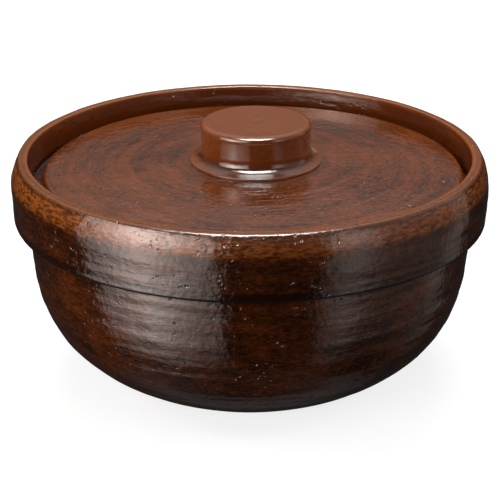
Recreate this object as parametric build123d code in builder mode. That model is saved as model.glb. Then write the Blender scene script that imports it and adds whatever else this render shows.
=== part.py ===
"""Wide glazed stoneware crock for fermenting vegetables, with a drop-in lid and two weight stones.

Every piece is round about the crock's upright axis, so each one is a profile drawn in radius and
height and turned about Z, apart from the two half-moon stones. The origin is the centre of the
foot, on the surface that the crock stands on. All sizes are in millimetres.
"""

import os
from math import cos, radians, sin, sqrt

from build123d import *

# Overall sizes
collar_diameter = 270.0
crock_height = 127.0
foot_diameter = 155.0

# Collar: the thick band around the mouth that steps out over the body
collar_height = 36.3
collar_wall = 10.5
collar_step = 9.3
collar_taper = 0.5
collar_corner = 2.5
shoulder_height = 17.5
shoulder_inset = 5.0
rim_rounding = 1.2

# Gallery: the ledge inside the collar that the lid drops onto
gallery_depth = 19.0
ledge_width = 12.5
gallery_fillet = 2.5
ledge_rounding = 1.5

# Body: the bowl below the collar
body_wall = 8.5
belly_lean = 1.8
belly_drop = 36.0
belly_reach = 53.0
base_slope = 27.0
floor_thickness = 9.5
floor_fillet = 25.0

# Foot: the bare ring that the crock stands on
foot_ring_width = 15.0
foot_recess = 2.5
foot_rounding = 1.2

# Lid disc
lid_gap = 5.5
lid_shift = 1.8
lid_edge_thickness = 9.0
lid_dome_rise = 4.0
lid_edge_rounding = 3.0

# Knob, thrown apart from the disc and stuck to it
knob_height = 22.8
knob_foot_diameter = 74.4
knob_foot_edge = 1.2
knob_cove_reach = 4.0
knob_cove_rise = 6.6
knob_waist_diameter = 61.8
knob_waist_height = 10.0
knob_top_diameter = 64.0
knob_top_rounding = 2.6
knob_shift = 1.5
knob_seat_margin = 0.8
dimple_diameter = 7.0
dimple_depth = 0.8

# Weight stones: two half-moons that keep the food under its brine
stone_side_clearance = 16.0
stone_seat_clearance = 0.4
stone_thickness = 16.0
stone_split = 3.0
stone_corner = 5.0
stone_rounding = 3.0
finger_hole_diameter = 30.0

# Places worked out from the sizes
collar_radius = collar_diameter / 2
mouth_radius = collar_radius - collar_wall
rim_outer_radius = collar_radius - shoulder_inset
foot_radius = foot_diameter / 2
body_top = crock_height - collar_height
body_top_radius = collar_radius - collar_step
ledge_height = crock_height - gallery_depth
ledge_radius = mouth_radius - ledge_width
slope = radians(base_slope)
inward_normal = Vector(-sin(slope), cos(slope)) * body_wall

lid_radius = mouth_radius - lid_gap
lid_edge_top = ledge_height + lid_edge_thickness
knob_seat = lid_edge_top + lid_dome_rise
knob_foot_radius = knob_foot_diameter / 2
knob_seat_radius = knob_foot_radius + knob_shift + knob_seat_margin
knob_waist_radius = knob_waist_diameter / 2
knob_top_radius = knob_top_diameter / 2
knob_axis = lid_shift + knob_shift

stone_radius = ledge_radius - stone_side_clearance
finger_hole_radius = finger_hole_diameter / 2

# How finely the bowl's curve is followed to find where a stone comes to rest
curve_steps = 400


def rest_height(curve, edge_radius, rounding, clearance):
    """Lowest height of a round slab whose rounded lower edge stays clear of a bowl's curve."""
    centre = edge_radius - rounding
    reach = rounding + clearance
    points = [curve @ (step / curve_steps) for step in range(curve_steps + 1)]
    near = [point for point in points if abs(point.X - centre) < reach]
    return max(point.Y - rounding + sqrt(reach**2 - (point.X - centre) ** 2) for point in near)


def corners_at(shape, *places):
    """The corners of a drawn face that stand at the given points."""
    return [shape.vertices().sort_by_distance(place)[0] for place in places]


# Crock bowl: foot, body, collar, rim and gallery in one thrown piece
belly_start = Vector(body_top_radius, body_top)
belly_upper = belly_start + Vector(-belly_lean, -belly_drop)
belly_end = Vector(foot_radius, 0)
belly_lower = belly_end + Vector(cos(slope), sin(slope)) * belly_reach
floor_edge = Vector(foot_radius + inward_normal.X, floor_thickness)
recess_radius = foot_radius - foot_ring_width
collar_foot_radius = collar_radius - collar_taper

with BuildPart() as crock_bowl:
    with BuildSketch(Plane.XZ) as wall:
        with BuildLine():
            Polyline((0, foot_recess), (recess_radius, foot_recess), (recess_radius, 0), belly_end)
            Bezier(belly_end, belly_lower, belly_upper, belly_start)
            collar_side = Polyline(
                belly_start,
                (collar_foot_radius, body_top),
                (collar_radius, crock_height - shoulder_height),
            )
            shoulder = TangentArc(
                collar_side @ 1,
                (rim_outer_radius, crock_height),
                tangent=(0, 1),
            )
            Polyline(
                shoulder @ 1,
                (mouth_radius, crock_height),
                (mouth_radius, ledge_height),
                (ledge_radius, ledge_height),
            )
            cavity = Bezier(
                (ledge_radius, ledge_height),
                belly_upper - Vector(body_wall, 0),
                belly_lower + inward_normal,
                floor_edge,
            )
            Polyline(cavity @ 1, (0, floor_thickness), (0, foot_recess))
        make_face()
        fillet(corners_at(wall, floor_edge), floor_fillet)
        fillet(corners_at(wall, (mouth_radius, ledge_height)), gallery_fillet)
        fillet(corners_at(wall, (ledge_radius, ledge_height)), ledge_rounding)
        fillet(corners_at(wall, (collar_foot_radius, body_top)), collar_corner)
        fillet(
            corners_at(wall, (mouth_radius, crock_height), (rim_outer_radius, crock_height)),
            rim_rounding,
        )
        fillet(corners_at(wall, belly_end, (recess_radius, 0)), foot_rounding)
    revolve(axis=Axis.Z)
crock_bowl.part.label = "crock_bowl"

# Lid disc: flat below, gently domed above up to the knob's seat
lid_plane = Plane(origin=(lid_shift, 0, 0), x_dir=(1, 0, 0), z_dir=(0, -1, 0))
lid_axis = Axis((lid_shift, 0, 0), (0, 0, 1))

with BuildPart() as lid_disc:
    with BuildSketch(lid_plane) as disc:
        with BuildLine():
            dome = TangentArc(
                (knob_seat_radius, knob_seat),
                (lid_radius, lid_edge_top),
                tangent=(1, 0),
            )
            Polyline(
                dome @ 1,
                (lid_radius, ledge_height),
                (0, ledge_height),
                (0, knob_seat),
                dome @ 0,
            )
        make_face()
        fillet(
            corners_at(disc, (lid_radius, lid_edge_top), (lid_radius, ledge_height)),
            lid_edge_rounding,
        )
    revolve(axis=lid_axis)
lid_disc.part.label = "lid_disc"

# Knob: a waisted grip with a dimpled flat top and a foot that coves out onto the disc
knob_plane = Plane(origin=(knob_axis, 0, knob_seat), x_dir=(1, 0, 0), z_dir=(0, -1, 0))
knob_turning_axis = Axis((knob_axis, 0, 0), (0, 0, 1))

with BuildPart() as lid_knob:
    with BuildSketch(knob_plane) as grip:
        with BuildLine():
            cove = Bezier(
                (knob_foot_radius, knob_foot_edge),
                (knob_foot_radius - knob_cove_reach, knob_foot_edge),
                (knob_waist_radius, knob_waist_height - knob_cove_rise),
                (knob_waist_radius, knob_waist_height),
            )
            side = TangentArc(
                cove @ 1,
                (knob_top_radius, knob_height),
                tangent=(0, 1),
            )
            dimple = TangentArc(
                (0, knob_height - dimple_depth),
                (dimple_diameter / 2, knob_height),
                tangent=(1, 0),
            )
            Polyline(side @ 1, dimple @ 1)
            Polyline(dimple @ 0, (0, 0), (knob_foot_radius, 0), cove @ 0)
        make_face()
        fillet(corners_at(grip, (knob_top_radius, knob_height)), knob_top_rounding)
    revolve(axis=knob_turning_axis)
lid_knob.part.label = "lid_knob"

# Weight stones: each rests where the narrowing bowl stops it, with its finger notch at the split
stone_base = rest_height(cavity, stone_radius, stone_rounding, stone_seat_clearance)

with BuildPart() as weight_stone_left:
    with BuildSketch(Plane.XY.offset(stone_base)) as half_moon:
        Circle(stone_radius)
        Circle(finger_hole_radius, mode=Mode.SUBTRACT)
        with Locations((-stone_split / 2, 0)):
            Rectangle(
                stone_radius + stone_split,
                2 * stone_radius,
                align=(Align.MIN, Align.CENTER),
                mode=Mode.SUBTRACT,
            )
        fillet(half_moon.vertices(), stone_corner)
    extrude(amount=stone_thickness)
    fillet(
        weight_stone_left.faces().filter_by(Axis.Z).edges(),
        stone_rounding,
    )
weight_stone_left.part.label = "weight_stone_left"

with BuildPart() as weight_stone_right:
    mirror(weight_stone_left.part, about=Plane.YZ)
weight_stone_right.part.label = "weight_stone_right"

os.makedirs("parts", exist_ok=True)
for piece in (crock_bowl, lid_disc, lid_knob, weight_stone_left, weight_stone_right):
    export_step(piece.part, f"parts/{piece.part.label}.step")
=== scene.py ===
"""Look of a wide amber-glazed stoneware fermenting crock, laid out as an add-on and run as a script."""

import math

import bpy
import numpy as np
from bpy.props import FloatProperty, FloatVectorProperty, IntProperty, PointerProperty
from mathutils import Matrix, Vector, noise


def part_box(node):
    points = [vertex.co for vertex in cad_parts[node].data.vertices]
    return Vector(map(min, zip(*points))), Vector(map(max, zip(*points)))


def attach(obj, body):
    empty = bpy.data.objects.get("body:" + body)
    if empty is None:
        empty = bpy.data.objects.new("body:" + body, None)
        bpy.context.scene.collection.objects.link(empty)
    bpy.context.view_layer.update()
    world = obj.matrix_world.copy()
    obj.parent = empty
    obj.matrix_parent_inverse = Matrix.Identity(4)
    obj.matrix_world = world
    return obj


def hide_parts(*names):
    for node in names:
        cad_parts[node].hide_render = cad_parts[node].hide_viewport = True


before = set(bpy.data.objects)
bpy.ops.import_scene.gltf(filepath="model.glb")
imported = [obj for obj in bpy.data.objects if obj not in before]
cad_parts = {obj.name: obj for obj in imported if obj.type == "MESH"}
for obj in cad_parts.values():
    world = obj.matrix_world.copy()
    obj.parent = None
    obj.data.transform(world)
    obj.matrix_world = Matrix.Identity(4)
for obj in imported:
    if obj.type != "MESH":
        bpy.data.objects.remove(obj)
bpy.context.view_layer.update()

bl_info = {
    "name": "Fermenting Crock",
    "version": (1, 0, 0),
    "blender": (4, 5, 0),
    "location": "View3D > Sidebar > Crock",
    "description": "Thrown and glazed meshes, finishes and a studio for a fermenting crock",
    "category": "Object",
}

MM = 0.001
SCREEN_DISTANCE = 1.0
SCREEN_STEPS = 60
GLAZE_IOR = 1.5
SKY_STOPS = (
    (0.0, 0.02),
    (0.04, 0.12),
    (0.12, 0.02),
    (0.52, 0.02),
    (0.59, 0.12),
    (0.69, 0.21),
    (0.75, 0.42),
    (0.85, 0.70),
    (0.93, 1.20),
)
CROCK_LOW, CROCK_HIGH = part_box("crock_bowl")
DISC_LOW, DISC_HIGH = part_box("lid_disc")
KNOB_LOW, KNOB_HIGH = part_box("lid_knob")
STONE_LOW, STONE_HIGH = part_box("weight_stone_left")


# ---------------------------------------------------------------- profiles in radius and height

def line(start, end, spacing):
    """Points from start up to, but not including, end."""
    start, end = np.array(start), np.array(end)
    count = max(1, round(np.linalg.norm(end - start) / spacing))
    return [tuple(start + (end - start) * step / count) for step in range(count)]


def arc(centre, radius, start_angle, end_angle, spacing):
    """Points round an arc, in degrees, up to but not including its end."""
    turn = math.radians(end_angle - start_angle)
    count = max(4, round(abs(turn) * radius / spacing))
    angles = [math.radians(start_angle) + turn * step / count for step in range(count)]
    return [(centre[0] + radius * math.cos(a), centre[1] + radius * math.sin(a)) for a in angles]


def sweep(start, start_pull, end_pull, end, spacing):
    """Points along a cubic curve, evenly spaced, up to but not including its end."""
    shares = np.linspace(0, 1, 400)[:, None]
    start, start_pull, end_pull, end = (np.array(p) for p in (start, start_pull, end_pull, end))
    curve = (
        (1 - shares) ** 3 * start
        + 3 * (1 - shares) ** 2 * shares * start_pull
        + 3 * (1 - shares) * shares**2 * end_pull
        + shares**3 * end
    )
    walked = np.concatenate([[0], np.cumsum(np.linalg.norm(np.diff(curve, axis=0), axis=1))])
    count = max(4, round(walked[-1] / spacing))
    places = np.arange(count) * walked[-1] / count
    return list(zip(np.interp(places, walked, curve[:, 0]), np.interp(places, walked, curve[:, 1])))


# ---------------------------------------------------------------- modelling

def deselect_all():
    if bpy.context.object and bpy.context.object.mode != "OBJECT":
        bpy.ops.object.mode_set(mode="OBJECT")
    bpy.ops.object.select_all(action="DESELECT")


def turn_profile(name, profile, axis_x, steps):
    """Extrudes one point along the profile, spins the line round its axis and closes the seam.

    The mesh keeps two attributes: run is the distance along the profile, and bend is how sharply
    the profile turns there, above nought on an outer edge and below nought in a hollow.
    """
    deselect_all()
    places = [Vector((axis_x + radius, 0, height)) for radius, height in profile]
    bpy.ops.mesh.primitive_plane_add(size=MM, location=places[0])
    piece = bpy.context.object
    piece.name = name
    bpy.ops.object.transform_apply(location=True, rotation=True, scale=True)
    bpy.ops.object.mode_set(mode="EDIT")
    bpy.ops.mesh.select_all(action="SELECT")
    bpy.ops.mesh.merge(type="CENTER")
    for here, there in zip(places, places[1:]):
        bpy.ops.mesh.extrude_region_move(TRANSFORM_OT_translate={"value": there - here})
    bpy.ops.mesh.select_all(action="SELECT")
    bpy.ops.mesh.spin(
        steps=steps, angle=math.tau, center=(axis_x, 0, 0), axis=(0, 0, 1), use_auto_merge=True
    )
    bpy.ops.mesh.select_all(action="SELECT")
    bpy.ops.mesh.remove_doubles(threshold=0.02 * MM)
    bpy.ops.mesh.normals_make_consistent(inside=False)
    bpy.ops.object.mode_set(mode="OBJECT")
    bpy.ops.object.shade_smooth()
    record_profile(piece, places, axis_x)
    return piece


def coordinates(piece):
    """The mesh's points as an array."""
    flat = np.zeros(len(piece.data.vertices) * 3, np.float32)
    piece.data.vertices.foreach_get("co", flat)
    return flat.reshape(-1, 3).astype(float)


def record_profile(piece, places, axis_x):
    """Stores run and bend on every point, from the nearest point of the profile."""
    line_points = np.array([(p.x - axis_x, p.z) for p in places])
    steps = np.diff(line_points, axis=0)
    lengths = np.linalg.norm(steps, axis=1)
    walked = np.concatenate([[0], np.cumsum(lengths)])
    headings = np.unwrap(np.arctan2(steps[:, 1], steps[:, 0]))
    even = np.arange(0, walked[-1], 0.25 * MM)
    heading = np.interp(even, (walked[1:] + walked[:-1]) / 2, headings)
    reach = 12
    kernel = np.hanning(2 * reach + 1)
    smooth = np.convolve(np.pad(heading, reach, mode="edge"), kernel / kernel.sum(), "valid")
    turning = np.gradient(smooth, 0.25 * MM)
    bends = np.interp(walked, even, turning)
    points = coordinates(piece)
    flat_points = np.stack([np.hypot(points[:, 0] - axis_x, points[:, 1]), points[:, 2]], axis=1)
    nearest = np.concatenate(
        [
            ((block[:, None, :] - line_points[None]) ** 2).sum(axis=2).argmin(axis=1)
            for block in np.array_split(flat_points, 60)
        ]
    )
    for name, values in (("run", walked[nearest]), ("bend", bends[nearest])):
        layer = piece.data.attributes.new(name, "FLOAT", "POINT")
        layer.data.foreach_set("value", values.astype(np.float32))


def handmade(piece, depth_at, seed):
    """Moves every point along its normal by a depth worked out from its place, run and normal."""
    mesh = piece.data
    points = coordinates(piece)
    normals = np.zeros(len(points) * 3, np.float32)
    mesh.vertices.foreach_get("normal", normals)
    normals = normals.reshape(-1, 3)
    run = np.zeros(len(points), np.float32)
    mesh.attributes["run"].data.foreach_get("value", run)
    depths = np.array(
        [depth_at(Vector(p), float(r), Vector(n), seed) for p, r, n in zip(points, run, normals)]
    )
    moved = points + normals * depths[:, None]
    mesh.vertices.foreach_set("co", moved.astype(np.float32).ravel())
    mesh.update()


def lay_coat(piece, coat_at):
    """Stores how thin and how evenly the glaze lies on every point, nought for its usual coat; below
    nought is painted shade.
    """
    coat = np.array([coat_at(Vector(point)) for point in coordinates(piece)], np.float32)
    for name, values in (("thin", coat[:, 0]), ("calm", coat[:, 1])):
        layer = piece.data.attributes.new(name, "FLOAT", "POINT")
        layer.data.foreach_set("value", np.ascontiguousarray(values))


def fade(value, low, high):
    """Nought at low, one at high, and smooth between them."""
    share = min(1.0, max(0.0, (value - low) / (high - low)))
    return share * share * (3 - 2 * share)


def ripple(place, run, seed, around, along):
    """Noise that is long round the piece and short along its profile, as fingers leave on clay."""
    offset = 17.0 * seed
    return noise.noise((place.x / around + offset, place.y / around - offset, run / along + offset))


def finish_piece(piece, body, slot, material, *nodes):
    """Gives a finished piece its material and its body, and hides the CAD nodes it stands for; slot is
    not used.
    """
    piece.data.materials.clear()
    piece.data.materials.append(material)
    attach(piece, body)
    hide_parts(*nodes)


# ---------------------------------------------------------------- shading

class Wire:
    """A shader socket that takes part in Python arithmetic."""

    def __init__(self, shade, socket):
        self.shade, self.socket = shade, socket

    def __add__(self, other):
        return self.shade.maths("ADD", self, other)

    def __sub__(self, other):
        return self.shade.maths("SUBTRACT", self, other)

    def __rsub__(self, other):
        return self.shade.maths("SUBTRACT", other, self)

    def __mul__(self, other):
        return self.shade.maths("MULTIPLY", self, other)

    def __truediv__(self, other):
        return self.shade.maths("DIVIDE", self, other)

    __radd__ = __add__


class Shade:
    """One material and the nodes in it."""

    def __init__(self, name):
        self.material = bpy.data.materials.new(name)
        self.material.use_nodes = True
        self.tree = self.material.node_tree
        self.tree.nodes.clear()

    def node(self, kind, settings=None, inputs=None, output=0):
        """Adds a node, sets it, feeds its sockets and gives back one of its outputs."""
        made = self.tree.nodes.new(kind)
        for key, value in (settings or {}).items():
            if key == "stops":
                ramp = made.color_ramp
                while len(ramp.elements) < len(value):
                    ramp.elements.new(0.5)
                for element, (position, colour) in zip(ramp.elements, value):
                    element.position = position
                    element.color = (*colour, 1)
            else:
                setattr(made, key, value)
        for key, value in (inputs or {}).items():
            if isinstance(value, Wire):
                self.tree.links.new(value.socket, made.inputs[key])
            else:
                made.inputs[key].default_value = value
        return Wire(self, made.outputs[output]) if made.outputs else None

    def maths(self, operation, *values):
        return self.node("ShaderNodeMath", {"operation": operation}, dict(enumerate(values)))

    def place(self):
        """The point on the piece, in metres."""
        return self.node("ShaderNodeTexCoord", output="Object")

    def attribute(self, name):
        return self.node("ShaderNodeAttribute", {"attribute_name": name}, output="Fac")

    def grain(self, vector, scale, detail=3.0, roughness=0.5):
        """Soft noise, nought to one."""
        inputs = {"Vector": vector, "Scale": scale, "Detail": detail, "Roughness": roughness}
        return self.node("ShaderNodeTexNoise", inputs=inputs)

    def between(self, value, low, high):
        """Nought below low, one above high, and smooth between them."""
        settings = {"interpolation_type": "SMOOTHSTEP"}
        inputs = {"Value": value, "From Min": low, "From Max": high}
        return self.node("ShaderNodeMapRange", settings, inputs)

    def blend(self, share, first, second):
        """A mix of two colours."""
        inputs = {0: share, 6: first, 7: second}
        return self.node("ShaderNodeMix", {"data_type": "RGBA"}, inputs, output=2)

    def stretched(self, place, run, around, along):
        """The place squeezed to follow the throwing: long round the piece, short along the run."""
        parts = self.tree.nodes.new("ShaderNodeSeparateXYZ")
        self.tree.links.new(place.socket, parts.inputs[0])
        across, deep = Wire(self, parts.outputs["X"]), Wire(self, parts.outputs["Y"])
        inputs = {"X": across / around, "Y": deep / around, "Z": run / along}
        return self.node("ShaderNodeCombineXYZ", inputs=inputs)

    def surface(self, inputs):
        """Closes the material with one glossy or matt surface."""
        shader = self.node("ShaderNodeBsdfPrincipled", inputs=inputs)
        self.node("ShaderNodeOutputMaterial", inputs={"Surface": shader})
        return self.material


def rgb(colour):
    return (*colour, 1.0)


def glaze(name, looks, stroke, warmth, breaking, relief, dappling, rings, bloom, pits, sheen):
    """Amber glaze over dark clay: thin and warm on edges, dark where it pools, pitted and streaked.

    stroke is the length of the marks round the piece, warmth is how amber the glaze comes out,
    breaking is how orange it breaks on edges, relief is how deep the marks are, dappling is how
    lumpy the glaze lies, rings is how deep the comb rings are, bloom is how much tan shows
    through, pits is how pitted it is, and sheen is its roughness.
    """
    shade = Shade(name)
    place, run = shade.place(), shade.attribute("run")
    bend, thin_coat_and_shade, calm = (shade.attribute(name) for name in ("bend", "thin", "calm"))
    broad = shade.grain(shade.stretched(place, run, stroke * 4, stroke), 1.0, 3.0, 0.6)
    streak = shade.grain(shade.stretched(place, run, stroke, 1.6 * MM), 1.0, 4.0, 0.65)
    fleck = shade.grain(shade.stretched(place, run, 3.2 * MM, 1.3 * MM), 1.0, 3.0, 0.6)
    mottle = shade.grain(place, 420.0, 3.0, 0.6)
    dapple = shade.grain(place, 310.0, 1.0, 0.5)
    lump = shade.grain(place, 130.0, 2.0, 0.5)
    cloud = shade.grain(place, 22.0, 3.0, 0.55)
    ring = shade.grain(shade.stretched(place, run, 150 * MM, 2.6 * MM), 1.0, 1.0, 0.5)
    # Below nought the coat is painted shade along the collar's lower edge: it darkens the glaze there
    # and keeps the orange break off.
    painted_shade_coat = shade.maths("MINIMUM", thin_coat_and_shade, 0.0)
    edge = shade.between(bend + (fleck - 0.5) * 200.0 + painted_shade_coat * 1500.0, 60.0, 260.0)
    hollow = shade.between(bend * -1.0, 60.0, 260.0)
    thickness = broad * 0.35 + streak * 0.30 + cloud * 0.35 + fleck * 0.45 + mottle * 0.15 + warmth
    uneven = (thickness + (ring - 0.5) * rings * 0.6 - 0.85) * (1.0 - calm * 0.75)
    # The coat lifts amber where the glaze runs thin, and below nought darkens it as painted shade.
    amber_share = shade.between(uneven + thin_coat_and_shade, -0.20, 0.24)
    body = shade.blend(amber_share, rgb(looks.dark), rgb(looks.amber))
    runs = shade.between(streak + fleck * 0.8, 0.76, 1.06) * shade.between(thin_coat_and_shade, 0.0, 0.14)
    warm = shade.blend(runs * (1.0 - calm) * 0.62, body, rgb(looks.orange))
    broken = shade.blend(edge * breaking, warm, rgb(looks.orange))
    pale = shade.between(fleck * 0.6 + mottle * 0.4 + cloud * 0.5, 0.55, 0.95) * bloom
    bloomed = shade.blend(pale, broken, rgb(looks.tan))
    pooled = shade.blend(hollow * 0.8, bloomed, rgb(looks.dark))
    ruffle = shade.node(
        "ShaderNodeTexNoise", inputs={"Vector": place, "Scale": 260.0}, output="Color"
    )
    wander = shade.node(
        "ShaderNodeMix", {"data_type": "VECTOR"}, {0: 0.004, 4: place, 5: ruffle}, output=1
    )
    cells = shade.node(
        "ShaderNodeTexVoronoi",
        {"feature": "F1"},
        {"Vector": wander, "Scale": 260.0, "Randomness": 1.0},
        output="Distance",
    )
    sparse = shade.between(shade.grain(place, 95.0, 2.0), 0.52, 0.66)
    pit = (1.0 - shade.between(cells + (mottle - 0.5) * 0.25, 0.06, 0.30)) * sparse * pits
    colour = shade.blend(pit * 0.75, pooled, rgb(looks.dark))
    height = (
        streak * (0.26 * relief)
        + broad * (1.1 * relief)
        + fleck * (0.12 * relief)
        + lump * (0.8 * dappling)
        + cloud * relief
        + dapple * (0.5 * dappling)
        + ring * (0.5 * rings)
        + mottle * 0.04
        - pit * 0.9
    )
    bump = shade.node(
        "ShaderNodeBump",
        inputs={"Strength": 1.0, "Distance": 0.6 * MM, "Height": height},
    )
    gloss = sheen + (mottle - 0.5) * 0.06 + pit * 0.2 + (cloud - 0.5) * 0.05
    return shade.surface(
        {
            "Base Color": colour,
            "Roughness": gloss,
            "IOR": GLAZE_IOR,
            "Coat Weight": 0.25,
            "Coat Roughness": 0.03,
            "Coat IOR": GLAZE_IOR,
            "Normal": bump,
        }
    )


def bare_clay(name, looks):
    """Unglazed buff stoneware with iron specks."""
    shade = Shade(name)
    place = shade.place()
    cloud = shade.grain(place, 30.0, 4.0, 0.6)
    grit = shade.grain(place, 700.0, 3.0, 0.7)
    body = shade.blend(shade.between(cloud, 0.35, 0.65), rgb(looks.clay_dark), rgb(looks.clay))
    cells = shade.node(
        "ShaderNodeTexVoronoi", {"feature": "F1"}, {"Vector": place, "Scale": 330.0}, output="Distance"
    )
    speck = (1.0 - shade.between(cells, 0.08, 0.2)) * shade.between(grit, 0.45, 0.6)
    colour = shade.blend(speck * 0.8, body, rgb(looks.dark))
    bump = shade.node(
        "ShaderNodeBump",
        inputs={"Strength": 0.8, "Distance": 0.3 * MM, "Height": grit * 0.5 + cloud - speck * 0.4},
    )
    return shade.surface(
        {"Base Color": colour, "Roughness": 0.72 + (grit - 0.5) * 0.2, "Normal": bump}
    )


# ---------------------------------------------------------------- sizes and colours

def length(name, description, millimetres):
    return FloatProperty(
        name=name, description=description, default=millimetres * MM, unit="LENGTH", min=0.0
    )


def tint(name, description, colour):
    return FloatVectorProperty(
        name=name, description=description, default=colour, subtype="COLOR", size=3, min=0, max=1
    )


class CrockSizes(bpy.types.PropertyGroup):
    collar_height: length("Collar height", "From the collar's underside to the rim", 36.3)
    collar_wall: length("Collar wall", "Thickness of the collar at the mouth", 10.5)
    collar_step: length("Collar step", "How far the collar stands out over the body", 9.3)
    collar_taper: length("Collar taper", "How far the collar draws in at its lower edge", 0.5)
    collar_corner: length("Collar corner", "Rounding of the collar's lower edge", 2.5)
    shoulder_height: length("Shoulder height", "Height of the rounded shoulder", 17.5)
    shoulder_inset: length("Shoulder inset", "How far the shoulder draws in at the rim", 5.0)
    rim_rounding: length("Rim rounding", "Rounding of the rim's two edges", 1.2)
    gallery_depth: length("Gallery depth", "From the rim down to the ledge", 19.0)
    ledge_width: length("Ledge width", "Width of the ledge that carries the lid", 12.5)
    gallery_fillet: length("Gallery fillet", "Rounding between the ledge and the collar", 2.5)
    small_rounding: length("Small rounding", "Rounding of the foot's and the ledge's edges", 1.2)
    body_wall: length("Body wall", "Thickness of the bowl", 8.5)
    belly_lean: length("Belly lean", "How far the body leans in below the collar", 1.8)
    belly_drop: length("Belly drop", "Pull of the curve below the collar", 36.0)
    belly_reach: length("Belly reach", "Pull of the curve above the foot", 53.0)
    base_slope: FloatProperty(
        name="Base slope",
        description="Slope at the foot",
        default=math.radians(27),
        unit="ROTATION",
    )
    foot_radius: length("Foot radius", "Half of the foot's width", 77.5)
    foot_ring: length("Foot ring", "Width of the bare ring", 15.0)
    foot_recess: length("Foot recess", "Depth of the recess in the foot", 2.5)
    floor_thickness: length("Floor thickness", "From the foot to the inside floor", 9.5)
    floor_fillet: length("Floor fillet", "Rounding between the wall and the inside floor", 25.0)
    floor_draw: length("Floor draw", "How far the fillet's centre stands in from the corner", 6.0)
    floor_turn: FloatProperty(
        name="Floor turn",
        description="Where the fillet meets the wall",
        default=math.radians(63),
        unit="ROTATION",
    )
    steps: IntProperty(name="Steps", description="Faces round the piece", default=300, min=24)


class LidSizes(bpy.types.PropertyGroup):
    edge_thickness: length("Edge thickness", "Thickness of the disc at its edge", 9.0)
    edge_rounding: length("Edge rounding", "Rounding of the disc's edges", 3.0)
    seat_margin: length("Seat margin", "Flat of the disc beyond the knob's foot", 2.3)
    knob_edge: length("Knob foot edge", "Upright edge of the knob's foot", 1.2)
    cove_reach: length("Cove reach", "Pull of the cove at the knob's foot", 4.0)
    cove_rise: length("Cove rise", "Pull of the cove at the knob's waist", 6.6)
    waist_radius: length("Waist radius", "Radius at the knob's waist", 30.9)
    waist_height: length("Waist height", "Height of the waist above the disc", 10.0)
    top_radius: length("Knob top radius", "Radius at the knob's top", 32.0)
    top_rounding: length("Knob top rounding", "Rounding of the knob's top edge", 3.4)
    dimple_radius: length("Dimple radius", "Radius of the dimple in the top", 3.5)
    dimple_depth: length("Dimple depth", "Depth of the dimple in the top", 0.3)
    steps: IntProperty(name="Steps", description="Faces round the piece", default=300, min=24)


class StoneSizes(bpy.types.PropertyGroup):
    finger_radius: length("Finger notch radius", "Radius of the notch at the split", 15.0)
    grain: length("Mesh grain", "Size of the remeshed faces", 1.3)


class GlazeColours(bpy.types.PropertyGroup):
    dark: tint("Dark glaze", "Glaze where it pools thick", (0.016, 0.0040, 0.0013))
    amber: tint("Amber glaze", "Glaze on open walls", (0.130, 0.027, 0.0032))
    orange: tint("Orange glaze", "Glaze where it breaks thin on an edge", (0.34, 0.095, 0.010))
    tan: tint("Tan glaze", "Glaze so thin that the clay shows through", (0.26, 0.11, 0.045))
    clay: tint("Clay", "Bare fired clay", (0.42, 0.30, 0.20))
    clay_dark: tint("Toasted clay", "Bare clay toasted by the fire", (0.30, 0.18, 0.11))


class StudioSettings(bpy.types.PropertyGroup):
    lens: FloatProperty(name="Lens", description="Focal length in millimetres", default=115.2)
    elevation: FloatProperty(
        name="Elevation",
        description="Camera's height angle",
        default=math.radians(22.35),
        unit="ROTATION",
    )
    distance: length("Distance", "From the camera to the point it looks at", 927.0)
    aim_height: length("Aim height", "Height of the point the camera looks at", 65.3)
    floor_radius: length("Floor radius", "Radius of the pale floor", 9000.0)


# ---------------------------------------------------------------- pieces

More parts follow.
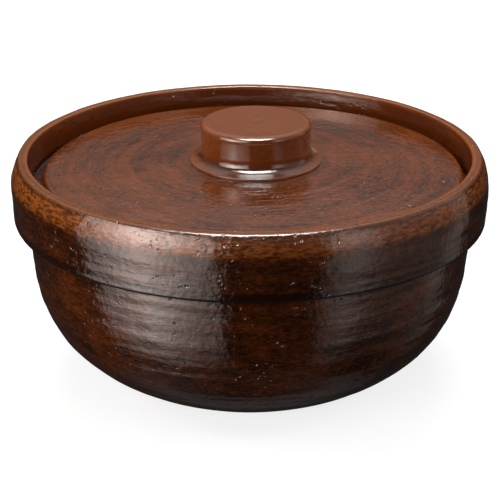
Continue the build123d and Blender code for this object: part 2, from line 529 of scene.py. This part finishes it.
def crock_profile(sizes):
    """Round the whole wall, from the centre of the foot, up the outside and down into the bowl."""
    fine, medium, coarse = 0.9 * MM, 1.6 * MM, 3.0 * MM
    radius, rim = CROCK_HIGH.x - 0.35 * MM, CROCK_HIGH.z
    mouth = CROCK_HIGH.x - sizes.collar_wall
    rim_outer = radius - sizes.shoulder_inset
    collar_foot = radius - sizes.collar_taper
    body_top = rim - sizes.collar_height
    body_radius = CROCK_HIGH.x - sizes.collar_step
    ledge_z = rim - sizes.gallery_depth
    ledge = mouth - sizes.ledge_width
    foot, ring = sizes.foot_radius, sizes.foot_radius - sizes.foot_ring
    slope = sizes.base_slope
    inward = np.array([-math.sin(slope), math.cos(slope)]) * sizes.body_wall
    reach = np.array([math.cos(slope), math.sin(slope)]) * sizes.belly_reach
    belly_lower = np.array([foot, 0]) + reach
    belly_upper = np.array([body_radius - sizes.belly_lean, body_top - sizes.belly_drop])
    small = sizes.small_rounding
    fillet = sizes.gallery_fillet
    corner = sizes.collar_corner
    rise = sizes.shoulder_height
    shoulder = (sizes.shoulder_inset**2 + rise**2) / (2 * sizes.shoulder_inset)
    shoulder_end = math.degrees(math.asin(rise / shoulder))
    edge = sizes.rim_rounding
    tuck = edge * math.tan(math.radians(90 - shoulder_end) / 2)
    floor_edge = np.array([foot + inward[0], sizes.floor_thickness])
    floor_centre = floor_edge + np.array([-sizes.floor_draw, sizes.floor_fillet])
    floor_meets = floor_centre[0] + sizes.floor_fillet * math.cos(sizes.floor_turn)
    cavity = sweep(
        (ledge, ledge_z - small),
        belly_upper - np.array([sizes.body_wall, 0]),
        belly_lower + inward,
        floor_edge,
        medium * 1.25,
    )
    return [
        *line((0, sizes.foot_recess), (ring - small, sizes.foot_recess), coarse),
        *line((ring - small, sizes.foot_recess), (ring, small), small),
        *arc((ring + small, small), small, 180, 270, 0.5 * MM),
        *line((ring + small, 0), (foot - small, 0), coarse),
        *arc((foot - small, small), small, 270, 333, 0.4 * MM),
        *sweep((foot, 0.6 * MM), belly_lower, belly_upper, (body_radius, body_top - small), fine),
        *arc((body_radius + small, body_top - small), small, 180, 90, 0.5 * MM),
        *line((body_radius + small, body_top), (collar_foot - corner, body_top), fine),
        *arc((collar_foot - corner, body_top + corner), corner, 270, 360, 0.5 * MM),
        *line((collar_foot, body_top + corner), (radius, rim - rise), fine),
        *arc((radius - shoulder, rim - rise), shoulder, 0, shoulder_end, fine),
        (rim_outer - tuck * 0.2, rim - 0.25 * MM),
        *line((rim_outer - tuck * 1.2, rim), (mouth + edge, rim), fine),
        *arc((mouth + edge, rim - edge), edge, 90, 180, 0.4 * MM),
        *line((mouth, rim - edge), (mouth, ledge_z + fillet), fine),
        *arc((mouth - fillet, ledge_z + fillet), fillet, 0, -90, 0.7 * MM),
        *line((mouth - fillet, ledge_z), (ledge + small, ledge_z), medium),
        *arc((ledge + small, ledge_z - small), small, 90, 180, 0.5 * MM),
        *(point for point in cavity if point[0] > floor_meets),
        *arc(floor_centre, sizes.floor_fillet, -math.degrees(sizes.floor_turn), -90, coarse),
        *line((floor_centre[0], sizes.floor_thickness), (0, sizes.floor_thickness), coarse * 1.5),
        (0, sizes.floor_thickness),
    ]


def crock_throwing(place, run, normal, seed):
    """Depth of the throwing marks on the crock.

    They fade out near the foot and the axis, and on the ledge that carries the lid. Inside the
    bowl they only cut in, so that the stones keep their room.
    """
    radius = math.hypot(place.x, place.y)
    outward = (normal.x * place.x + normal.y * place.y) / max(radius, MM)
    shown = fade(place.z, 2 * MM, 10 * MM) * min(1.0, radius / (40 * MM))
    rings = ripple(place, run, seed, 220 * MM, 7 * MM) * 0.32
    fingers = ripple(place, run, seed + 1, 90 * MM, 3.2 * MM) * 0.16
    lumps = noise.noise(place * 38 + Vector((seed, 0, 0))) * 0.22
    grain = noise.noise(place * 130 + Vector((0, seed, 0))) * 0.07
    depth = rings + fingers + lumps + grain - 0.12
    if place.z < CROCK_HIGH.z - 2 * MM and (outward < 0 or normal.z > 0.75):
        below_ledge = 1 - fade(place.z, CROCK_HIGH.z - 28 * MM, CROCK_HIGH.z - 22 * MM)
        above_ledge = fade(place.z, CROCK_HIGH.z - 17 * MM, CROCK_HIGH.z - 12 * MM)
        depth = (depth - 0.5) * 0.5 * max(below_ledge, above_ledge)
    return depth * MM * shown


def crock_coat(place):
    """The glaze runs thin on the shoulder under the rim and lies evenly above the ledge; the collar's
    lower edge gets painted shade.
    """
    radius = math.hypot(place.x, place.y)
    below_rim = CROCK_HIGH.z - place.z
    if radius < CROCK_HIGH.x - 8 * MM:
        above_ledge = 1 - fade(below_rim, 16 * MM, 19 * MM)
        return 0.10 * above_ledge, above_ledge
    shoulder = fade(below_rim, 1.5 * MM, 4 * MM) * (1 - fade(below_rim, 7 * MM, 14 * MM))
    # Painted shade: a band along the collar's lower edge, under its overhang, gets a coat below nought,
    # which darkens the glaze there.
    painted_shade_band = fade(below_rim, 30 * MM, 32 * MM) * (1 - fade(below_rim, 37 * MM, 38 * MM))
    return 0.20 * shoulder - 0.3 * painted_shade_band, 0.0


class CROCK_OT_bowl(bpy.types.Operator):
    """Throw the crock bowl: foot, body, collar, rim and gallery"""

    bl_idname = "crock.bowl"
    bl_label = "Crock bowl"

    def execute(self, context):
        sizes = context.scene.crock_sizes
        piece = turn_profile("crock_bowl_thrown", crock_profile(sizes), 0.0, sizes.steps)
        lay_coat(piece, crock_coat)
        handmade(piece, crock_throwing, 3)
        material = glaze(
            "crock_amber_glaze",
            context.scene.glaze_colours,
            stroke=6 * MM,
            warmth=0.0,
            breaking=0.3,
            relief=0.7,
            dappling=0.6,
            rings=0.0,
            bloom=0.0,
            pits=1.0,
            sheen=0.14,
        )
        finish_piece(piece, "crock", "crock_glaze", material, "crock_bowl")
        return {"FINISHED"}


def lid_axis():
    return (DISC_LOW.x + DISC_HIGH.x) / 2


def knob_axis():
    return (KNOB_LOW.x + KNOB_HIGH.x) / 2


def disc_profile(sizes):
    """From the centre of the disc's flat underside, round its edge and over the dome."""
    fine = 0.9 * MM
    radius = (DISC_HIGH.x - DISC_LOW.x) / 2 - 0.2 * MM
    low, top = DISC_LOW.z, DISC_HIGH.z
    edge_top = low + sizes.edge_thickness
    rounding = sizes.edge_rounding
    seat = (KNOB_HIGH.x - KNOB_LOW.x) / 2 + sizes.seat_margin
    rise = top - edge_top
    reach = radius - rounding - seat
    return [
        *line((0, low), (radius - rounding, low), 3.0 * MM),
        *arc((radius - rounding, low + rounding), rounding, 270, 360, 0.6 * MM),
        *line((radius, low + rounding), (radius, edge_top - rounding), fine),
        *arc((radius - rounding, edge_top - rounding), rounding, 0, 85, 0.5 * MM),
        *sweep(
            (radius - rounding, edge_top),
            (radius - rounding - 0.45 * reach, edge_top + 0.62 * rise),
            (seat + 0.3 * reach, top),
            (seat, top),
            fine,
        ),
        *line((seat, top), (0, top), 1.6 * MM),
        (0, top),
    ]


def disc_throwing(place, run, normal, seed):
    """Depth of the comb rings on the disc's top, which stay clear of the ledge below."""
    if place.z < DISC_LOW.z + 3 * MM:
        return 0.0
    from_axis = math.hypot(place.x - lid_axis(), place.y)
    shown = min(1.0, max(0.0, (from_axis - 36 * MM) / (8 * MM)))
    rings = ripple(place, run, seed, 160 * MM, 7.5 * MM) * 0.13
    comb = ripple(place, run, seed + 2, 160 * MM, 3.4 * MM) * 0.08
    lumps = noise.noise(place * 60 + Vector((0, 0, seed))) * 0.16
    swell = noise.noise(place * 18 + Vector((seed, 0, 0))) * 0.3
    return (rings + comb + lumps + swell - 0.2) * MM * shown


class CROCK_OT_lid_disc(bpy.types.Operator):
    """Throw the lid's disc"""

    bl_idname = "crock.lid_disc"
    bl_label = "Lid disc"

    def execute(self, context):
        sizes = context.scene.lid_sizes
        piece = turn_profile("lid_disc_thrown", disc_profile(sizes), lid_axis(), sizes.steps)
        handmade(piece, disc_throwing, 8)
        material = glaze(
            "lid_amber_glaze",
            context.scene.glaze_colours,
            stroke=5 * MM,
            warmth=0.09,
            breaking=0.1,
            relief=0.4,
            dappling=0.95,
            rings=0.45,
            bloom=0.10,
            pits=1.0,
            sheen=0.05,
        )
        finish_piece(piece, "lid", "lid_glaze", material, "lid_disc")
        return {"FINISHED"}


def knob_profile(sizes):
    """From the centre of the knob's foot, up its cove and leaning side, and in to the dimple."""
    fine = 0.5 * MM
    base, top = KNOB_LOW.z, KNOB_HIGH.z
    foot = (KNOB_HIGH.x - KNOB_LOW.x) / 2
    foot_top = base + sizes.knob_edge
    waist = (sizes.waist_radius, base + sizes.waist_height)
    rounding = sizes.top_rounding
    flare, rise = sizes.top_radius - waist[0], top - waist[1]
    side = (flare**2 + rise**2) / (2 * flare)
    lean = math.degrees(math.asin((rise - rounding) / side))
    edge_radius = waist[0] + side * (1 - math.cos(math.radians(lean)))
    edge_centre = (edge_radius - rounding * math.cos(math.radians(lean)), top - rounding)
    return [
        *line((0, base), (foot, base), 3.0 * MM),
        *line((foot, base), (foot, foot_top - 0.4 * MM), fine),
        *arc((foot - 0.4 * MM, foot_top - 0.4 * MM), 0.4 * MM, 0, 85, 0.2 * MM),
        *sweep(
            (foot - 0.5 * MM, foot_top),
            (foot - sizes.cove_reach, foot_top + 0.45 * sizes.cove_reach),
            (waist[0], waist[1] - sizes.cove_rise),
            waist,
            fine,
        ),
        *arc((waist[0] + side, waist[1]), side, 180, 180 - lean, fine),
        *arc(edge_centre, rounding, -lean, 90, 0.3 * MM),
        *line((edge_centre[0], top), (sizes.dimple_radius, top), 1.0 * MM),
        *sweep(
            (sizes.dimple_radius, top),
            (sizes.dimple_radius * 0.7, top),
            (sizes.dimple_radius * 0.5, top - sizes.dimple_depth),
            (0, top - sizes.dimple_depth),
            fine,
        ),
        (0, top - sizes.dimple_depth),
    ]


def knob_throwing(place, run, normal, seed):
    """Depth of the faint marks on the knob, which leave its foot flat on the disc."""
    if place.z < KNOB_LOW.z + 0.2 * MM:
        return 0.0
    rings = ripple(place, run, seed, 120 * MM, 5 * MM) * 0.12
    lumps = noise.noise(place * 55 + Vector((seed, seed, 0))) * 0.14
    return (rings + lumps - 0.16) * MM


class CROCK_OT_lid_knob(bpy.types.Operator):
    """Throw the lid's waisted knob"""

    bl_idname = "crock.lid_knob"
    bl_label = "Lid knob"

    def execute(self, context):
        sizes = context.scene.lid_sizes
        piece = turn_profile("lid_knob_thrown", knob_profile(sizes), knob_axis(), sizes.steps)
        handmade(piece, knob_throwing, 5)
        material = glaze(
            "knob_amber_glaze",
            context.scene.glaze_colours,
            stroke=22 * MM,
            warmth=0.38,
            breaking=0.1,
            relief=0.3,
            dappling=0.3,
            rings=0.0,
            bloom=0.22,
            pits=0.12,
            sheen=0.09,
        )
        finish_piece(piece, "lid", "knob_glaze", material, "lid_knob")
        return {"FINISHED"}


def half_moon(name, side, sizes):
    """Turns a ring of clay, cuts it on the split and softens every edge."""
    low, high = STONE_LOW.z, STONE_HIGH.z
    outer = -STONE_LOW.x - 0.3 * MM
    split = -STONE_HIGH.x
    inner = sizes.finger_radius + 0.2 * MM
    inset = 0.3 * MM
    deselect_all()
    bpy.ops.mesh.primitive_cylinder_add(
        vertices=160, radius=outer, depth=high - low - 2 * inset, location=(0, 0, (low + high) / 2)
    )
    piece = bpy.context.object
    piece.name = name
    bpy.ops.object.transform_apply(location=True, rotation=True, scale=True)
    deselect_all()
    bpy.ops.mesh.primitive_cylinder_add(
        vertices=64, radius=inner, depth=2 * (high - low), location=(0, 0, (low + high) / 2)
    )
    cutter = bpy.context.object
    deselect_all()
    bpy.context.view_layer.objects.active = piece
    piece.select_set(True)
    notch = piece.modifiers.new("finger_notch", "BOOLEAN")
    notch.object = cutter
    notch.operation = "DIFFERENCE"
    bpy.ops.object.modifier_apply(modifier=notch.name)
    bpy.data.objects.remove(cutter)
    bpy.ops.object.mode_set(mode="EDIT")
    bpy.ops.mesh.select_all(action="SELECT")
    bpy.ops.mesh.bisect(
        plane_co=(side * (split + inset), 0, 0),
        plane_no=(side, 0, 0),
        use_fill=True,
        clear_inner=True,
    )
    bpy.ops.mesh.select_all(action="SELECT")
    bpy.ops.mesh.normals_make_consistent(inside=False)
    bpy.ops.object.mode_set(mode="OBJECT")
    remesh = piece.modifiers.new("clay_grain", "REMESH")
    remesh.mode = "VOXEL"
    remesh.voxel_size = sizes.grain
    bpy.ops.object.modifier_apply(modifier=remesh.name)
    soften = piece.modifiers.new("sponged_edges", "SMOOTH")
    soften.iterations = 14
    soften.factor = 0.6
    bpy.ops.object.modifier_apply(modifier=soften.name)
    bpy.ops.object.shade_smooth()
    points = coordinates(piece)
    lumps = np.array([noise.noise(Vector(p) * 40 + Vector((side, 0, 0))) for p in points])
    normals = np.zeros(len(points) * 3, np.float32)
    piece.data.vertices.foreach_get("normal", normals)
    points += normals.reshape(-1, 3) * (lumps[:, None] * 0.25 - 0.1) * MM
    piece.data.vertices.foreach_set("co", points.astype(np.float32).ravel())
    piece.data.update()
    return piece


class CROCK_OT_weight_stones(bpy.types.Operator):
    """Make the two half-moon weight stones"""

    bl_idname = "crock.weight_stones"
    bl_label = "Weight stones"

    def execute(self, context):
        sizes = context.scene.stone_sizes
        clay = bare_clay("weight_bare_clay", context.scene.glaze_colours)
        for label, side in (("left", -1), ("right", 1)):
            piece = half_moon(f"weight_stone_{label}_pressed", side, sizes)
            finish_piece(piece, f"weight_{label}", "weight_clay", clay, f"weight_stone_{label}")
        return {"FINISHED"}


# ---------------------------------------------------------------- studio

def camera(settings):
    """Looks down at the crock from the front."""
    data = bpy.data.cameras.new("studio_camera")
    data.lens = settings.lens
    data.sensor_width = 36.0
    data.clip_start, data.clip_end = 0.01, 100.0
    made = bpy.data.objects.new("studio_camera", data)
    bpy.context.scene.collection.objects.link(made)
    tilt = settings.elevation
    made.location = (
        0.0,
        -settings.distance * math.cos(tilt),
        settings.aim_height + settings.distance * math.sin(tilt),
    )
    made.rotation_euler = (math.pi / 2 - tilt, 0, 0)
    bpy.context.scene.camera = made


def soft_light(name, place, aim, width, depth, power):
    """A lamp for the fill, which gloss doesn't see."""
    data = bpy.data.lights.new(name, "AREA")
    data.shape = "RECTANGLE"
    data.size, data.size_y = width, depth
    data.energy = power
    made = bpy.data.objects.new(name, data)
    bpy.context.scene.collection.objects.link(made)
    made.location = place
    made.rotation_euler = (Vector(aim) - Vector(place)).to_track_quat("-Z", "Y").to_euler()
    made.visible_camera = False
    made.visible_glossy = False


def only_for_gloss(screen):
    """Keeps a glowing screen out of everything but reflections."""
    screen.visible_camera = False
    screen.visible_diffuse = False
    screen.visible_shadow = False


def top_card(name, depth, height, width, length, strength):
    """A glowing screen overhead for the white line on rims, edges and bumps."""
    deselect_all()
    bpy.ops.mesh.primitive_plane_add(size=1.0, location=(0, depth, height))
    card = bpy.context.object
    card.name = name
    card.scale = (width, length, 1)
    shade = Shade(name + "_glow")
    centred = shade.node("ShaderNodeVectorMath", {"operation": "ABSOLUTE"}, {0: shade.place()})
    parts = shade.tree.nodes.new("ShaderNodeSeparateXYZ")
    shade.tree.links.new(centred.socket, parts.inputs[0])
    across, deep = Wire(shade, parts.outputs["X"]), Wire(shade, parts.outputs["Y"])
    soft = (1.0 - shade.between(across, 0.1, 0.5)) * (1.0 - shade.between(deep, 0.35, 0.5))
    glow = shade.node(
        "ShaderNodeEmission", inputs={"Color": (1, 0.98, 0.96, 1), "Strength": soft * strength}
    )
    shade.node("ShaderNodeOutputMaterial", inputs={"Surface": glow})
    card.data.materials.append(shade.material)
    only_for_gloss(card)


def side_card(name, turns, glows, heights, shares):
    """A glowing curved screen beside the crock, which only gloss sees, for the shine on the walls.

    turns are angles in degrees from the front, to the right above nought, and glows is how bright
    the screen is at each. heights are angles above the horizon, and shares scales the glow there.
    """
    deselect_all()
    ends = (heights[0], heights[-1])
    low, high = (SCREEN_DISTANCE * math.tan(math.radians(angle)) for angle in ends)
    first = Vector((math.sin(math.radians(turns[0])), -math.cos(math.radians(turns[0])), 0))
    bpy.ops.mesh.primitive_plane_add(size=MM, location=(0, 0, 0))
    card = bpy.context.object
    card.name = name
    bpy.ops.object.mode_set(mode="EDIT")
    bpy.ops.mesh.select_all(action="SELECT")
    bpy.ops.mesh.merge(type="CENTER")
    bpy.ops.transform.translate(value=first * SCREEN_DISTANCE + Vector((0, 0, low)))
    step = Vector((0, 0, (high - low) / SCREEN_STEPS))
    for _ in range(SCREEN_STEPS):
        bpy.ops.mesh.extrude_region_move(TRANSFORM_OT_translate={"value": step})
    bpy.ops.mesh.select_all(action="SELECT")
    turn = math.radians(turns[-1] - turns[0])
    bpy.ops.mesh.spin(steps=SCREEN_STEPS, angle=-turn, center=(0, 0, 0), axis=(0, 0, 1))
    bpy.ops.object.mode_set(mode="OBJECT")
    points = coordinates(card)
    angles = np.degrees(np.arctan2(points[:, 0], -points[:, 1]))
    lifts = np.degrees(np.arctan2(points[:, 2], SCREEN_DISTANCE))
    brightness = np.interp(angles, turns, glows) * np.interp(lifts, heights, shares)
    layer = card.data.attributes.new("glow", "FLOAT", "POINT")
    layer.data.foreach_set("value", brightness.astype(np.float32))
    shade = Shade(name + "_glow")
    glow = shade.node(
        "ShaderNodeEmission",
        inputs={"Color": (1, 0.87, 0.81, 1), "Strength": shade.attribute("glow")},
    )
    shade.node("ShaderNodeOutputMaterial", inputs={"Surface": glow})
    card.data.materials.append(shade.material)
    card.location.z = CROCK_HIGH.z
    only_for_gloss(card)


def backdrop_light():
    """White to the eye, an even fill, and for the gloss a grey sky that is dimmer in front.

    SKY_STOPS gives the sky's brightness by height, from nought straight down to one overhead.
    """
    world = bpy.data.worlds.new("studio_air")
    bpy.context.scene.world = world
    world.use_nodes = True
    tree = world.node_tree
    tree.nodes.clear()
    path = tree.nodes.new("ShaderNodeLightPath")
    direction = tree.nodes.new("ShaderNodeTexCoord")
    split = tree.nodes.new("ShaderNodeSeparateXYZ")
    ramp = tree.nodes.new("ShaderNodeValToRGB")
    tree.links.new(direction.outputs["Generated"], split.inputs[0])
    scale = tree.nodes.new("ShaderNodeMapRange")
    scale.inputs["From Min"].default_value = -1.0
    tree.links.new(split.outputs["Z"], scale.inputs["Value"])
    tree.links.new(scale.outputs[0], ramp.inputs[0])
    while len(ramp.color_ramp.elements) < len(SKY_STOPS):
        ramp.color_ramp.elements.new(0.5)
    for element, (position, grey) in zip(ramp.color_ramp.elements, SKY_STOPS):
        element.position = position
        element.color = (grey, grey, grey, 1)
    behind = tree.nodes.new("ShaderNodeMapRange")
    behind.inputs["From Min"].default_value = -0.5
    behind.inputs["From Max"].default_value = 0.3
    behind.inputs["To Min"].default_value = 0.35
    tree.links.new(split.outputs["Y"], behind.inputs["Value"])
    sky = tree.nodes.new("ShaderNodeVectorMath")
    sky.operation = "SCALE"
    tree.links.new(ramp.outputs[0], sky.inputs[0])
    tree.links.new(behind.outputs[0], sky.inputs["Scale"])
    seen = tree.nodes.new("ShaderNodeMix")
    seen.data_type = "RGBA"
    tree.links.new(path.outputs["Is Glossy Ray"], seen.inputs[0])
    seen.inputs[6].default_value = (0.20, 0.20, 0.205, 1)
    tree.links.new(sky.outputs[0], seen.inputs[7])
    eye = tree.nodes.new("ShaderNodeMix")
    eye.data_type = "RGBA"
    tree.links.new(path.outputs["Is Camera Ray"], eye.inputs[0])
    tree.links.new(seen.outputs[2], eye.inputs[6])
    eye.inputs[7].default_value = (1, 1, 1, 1)
    back = tree.nodes.new("ShaderNodeBackground")
    tree.links.new(eye.outputs[2], back.inputs["Color"])
    out = tree.nodes.new("ShaderNodeOutputWorld")
    tree.links.new(back.outputs[0], out.inputs["Surface"])


def pale_floor(settings):
    """A wide pale floor that glows a little, and that gloss doesn't see."""
    deselect_all()
    bpy.ops.mesh.primitive_circle_add(
        vertices=96, radius=settings.floor_radius, fill_type="NGON", location=(0, 0, 0)
    )
    floor = bpy.context.object
    floor.name = "studio_floor"
    shade = Shade("pale_floor_paint")
    cloud = shade.grain(shade.place(), 3.0, 3.0, 0.5)
    colour = shade.blend(cloud, (0.24, 0.24, 0.24, 1), (0.27, 0.27, 0.27, 1))
    paint = shade.surface(
        {
            "Base Color": colour,
            "Roughness": 0.9,
            "Emission Color": (1, 1, 1, 1),
            "Emission Strength": 0.80,
        }
    )
    floor.data.materials.append(paint)
    floor.visible_glossy = False
    floor.visible_diffuse = False


class CROCK_OT_studio(bpy.types.Operator):
    """Set the floor, the lights and the camera"""

    bl_idname = "crock.studio"
    bl_label = "Studio"

    def execute(self, context):
        settings = context.scene.studio_settings
        camera(settings)
        pale_floor(settings)
        backdrop_light()
        context.scene.view_settings.view_transform = "Standard"
        soft_light("back_softbox", (0, 0.52, 1.15), (0, 0, 0.1), 1.0, 0.42, 22.0)
        soft_light("left_softbox", (-1.35, 0.1, 0.8), (0, 0, 0.1), 0.6, 0.6, 9.0)
        soft_light("left_low_softbox", (-1.15, -0.6, 0.05), (0, 0, 0.07), 0.5, 0.5, 12.0)
        soft_light("right_softbox", (1.35, 0.1, 0.7), (0, 0, 0.1), 0.6, 0.6, 6.0)
        soft_light("front_fill", (-0.4, -1.3, 0.8), (0, 0, 0.1), 1.2, 0.6, 3.5)
        top_card("top_card", -0.48, 1.15, 1.4, 0.64, 36.0)
        heights = (-60, -50, -38, -28, -24, -10, 0, 10, 22, 30)
        shares = (0.0, 0.12, 0.42, 0.65, 1.15, 0.95, 1.1, 1.9, 2.5, 2.1)
        turns, glows = (-80, -77, -66, -48, -28, -15, -14), (0.0, 1.4, 2.4, 6.2, 2.3, 1.5, 0.0)
        side_card("left_card", turns, glows, heights, shares)
        turns = (31, 34, 46, 58, 66, 95, 106, 114, 118)
        glows = (0.0, 0.35, 1.1, 0.4, 0.25, 0.2, 0.38, 0.3, 0.0)
        side_card("right_card", turns, glows, heights, shares)
        return {"FINISHED"}


# ---------------------------------------------------------------- add-on

OPERATORS = (
    CROCK_OT_bowl,
    CROCK_OT_lid_disc,
    CROCK_OT_lid_knob,
    CROCK_OT_weight_stones,
    CROCK_OT_studio,
)
GROUPS = {
    "crock_sizes": CrockSizes,
    "lid_sizes": LidSizes,
    "stone_sizes": StoneSizes,
    "glaze_colours": GlazeColours,
    "studio_settings": StudioSettings,
}


class CROCK_PT_panel(bpy.types.Panel):
    """The crock's operators, in the order they are used"""

    bl_idname = "CROCK_PT_panel"
    bl_label = "Fermenting crock"
    bl_space_type = "VIEW_3D"
    bl_region_type = "UI"
    bl_category = "Crock"

    def draw(self, context):
        for operator in OPERATORS:
            self.layout.operator(operator.bl_idname)


def register():
    for group in GROUPS.values():
        bpy.utils.register_class(group)
    for operator in (*OPERATORS, CROCK_PT_panel):
        bpy.utils.register_class(operator)
    for name, group in GROUPS.items():
        setattr(bpy.types.Scene, name, PointerProperty(type=group))


def unregister():
    for name in GROUPS:
        delattr(bpy.types.Scene, name)
    for known in (CROCK_PT_panel, *reversed(OPERATORS), *reversed(GROUPS.values())):
        bpy.utils.unregister_class(known)


def main():
    register()
    bpy.ops.crock.bowl()
    bpy.ops.crock.lid_disc()
    bpy.ops.crock.lid_knob()
    bpy.ops.crock.weight_stones()
    bpy.ops.crock.studio()


if __name__ == "__main__":
    main()
